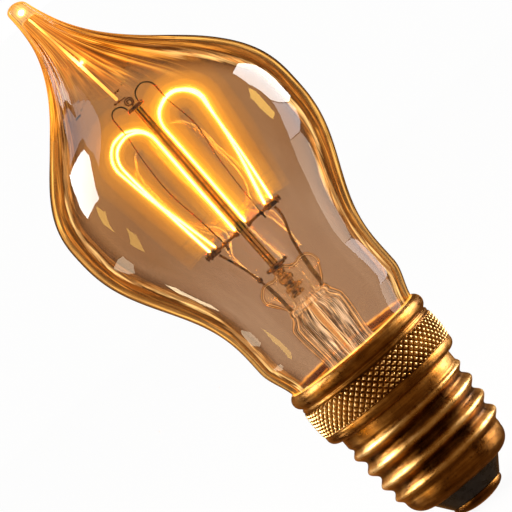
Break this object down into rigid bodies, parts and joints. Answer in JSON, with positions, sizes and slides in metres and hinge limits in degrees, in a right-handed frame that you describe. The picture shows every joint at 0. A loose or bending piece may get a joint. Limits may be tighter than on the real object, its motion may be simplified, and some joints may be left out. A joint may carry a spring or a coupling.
{
  "type": "light bulb",
  "caption": "Lit vintage filament light bulb: amber blown glass with a drawn tip, hairpin filament loops on a glass stem, and a knurled aged-brass screw cap",
  "frame": {"origin": "the end of the centre contact, on the axis of the screw cap", "axes": "+Z along the axis of the screw cap towards the drawn tip; +X across the flat plane of the filament loops; +Y away from the side that is shown"},
  "size_m": [0.0517, 0.0516, 0.1246],
  "materials": {
    "amber_glass": "clear amber blown glass, glossy",
    "stem_glass": "clear drawn glass",
    "glowing_filament": "glowing wire",
    "rod_metal": "dull gold-brown metal rod",
    "support_wire": "dark oxidised wire",
    "copper_wire": "copper-clad wire",
    "aged_brass": "aged brass with brown patina",
    "black_insulator": "glossy black",
    "cement": "rough cement",
    "solder": "soft solder"
  },
  "bodies": {
    "root": {"envelope": "amber_glass", "tip_thread": "stem_glass", "stem_glass": "stem_glass", "exhaust_tube": "stem_glass", "centre_rod": "rod_metal", "ferrule": "support_wire", "hub_clip": "support_wire", "hub_curl": "support_wire", "finial": "support_wire", "hook_left": "support_wire", "hook_right": "support_wire", "filament_left_wide": "glowing_filament", "filament_left_narrow": "glowing_filament", "filament_right_wide": "glowing_filament", "filament_right_narrow": "glowing_filament", "guy_left": "rod_metal", "guy_right": "rod_metal", "crossbar_left": "support_wire", "crossbar_right": "support_wire", "inner_clip_left": "support_wire", "inner_clip_right": "support_wire", "mid_clip_left": "support_wire", "mid_clip_right": "support_wire", "outer_clamp_left": "support_wire", "outer_clamp_right": "support_wire", "inner_lead_left": "support_wire", "inner_lead_right": "support_wire", "lead_bead": "support_wire", "seal_wire_left": "copper_wire", "seal_wire_right": "copper_wire", "contact_lead": "copper_wire", "shell_lead": "copper_wire", "shell_solder": "solder", "collar": "aged_brass", "basing_cement": "cement", "screw_shell": "aged_brass", "insulator": "black_insulator", "centre_contact": "aged_brass"}
  },
  "joints": []
}
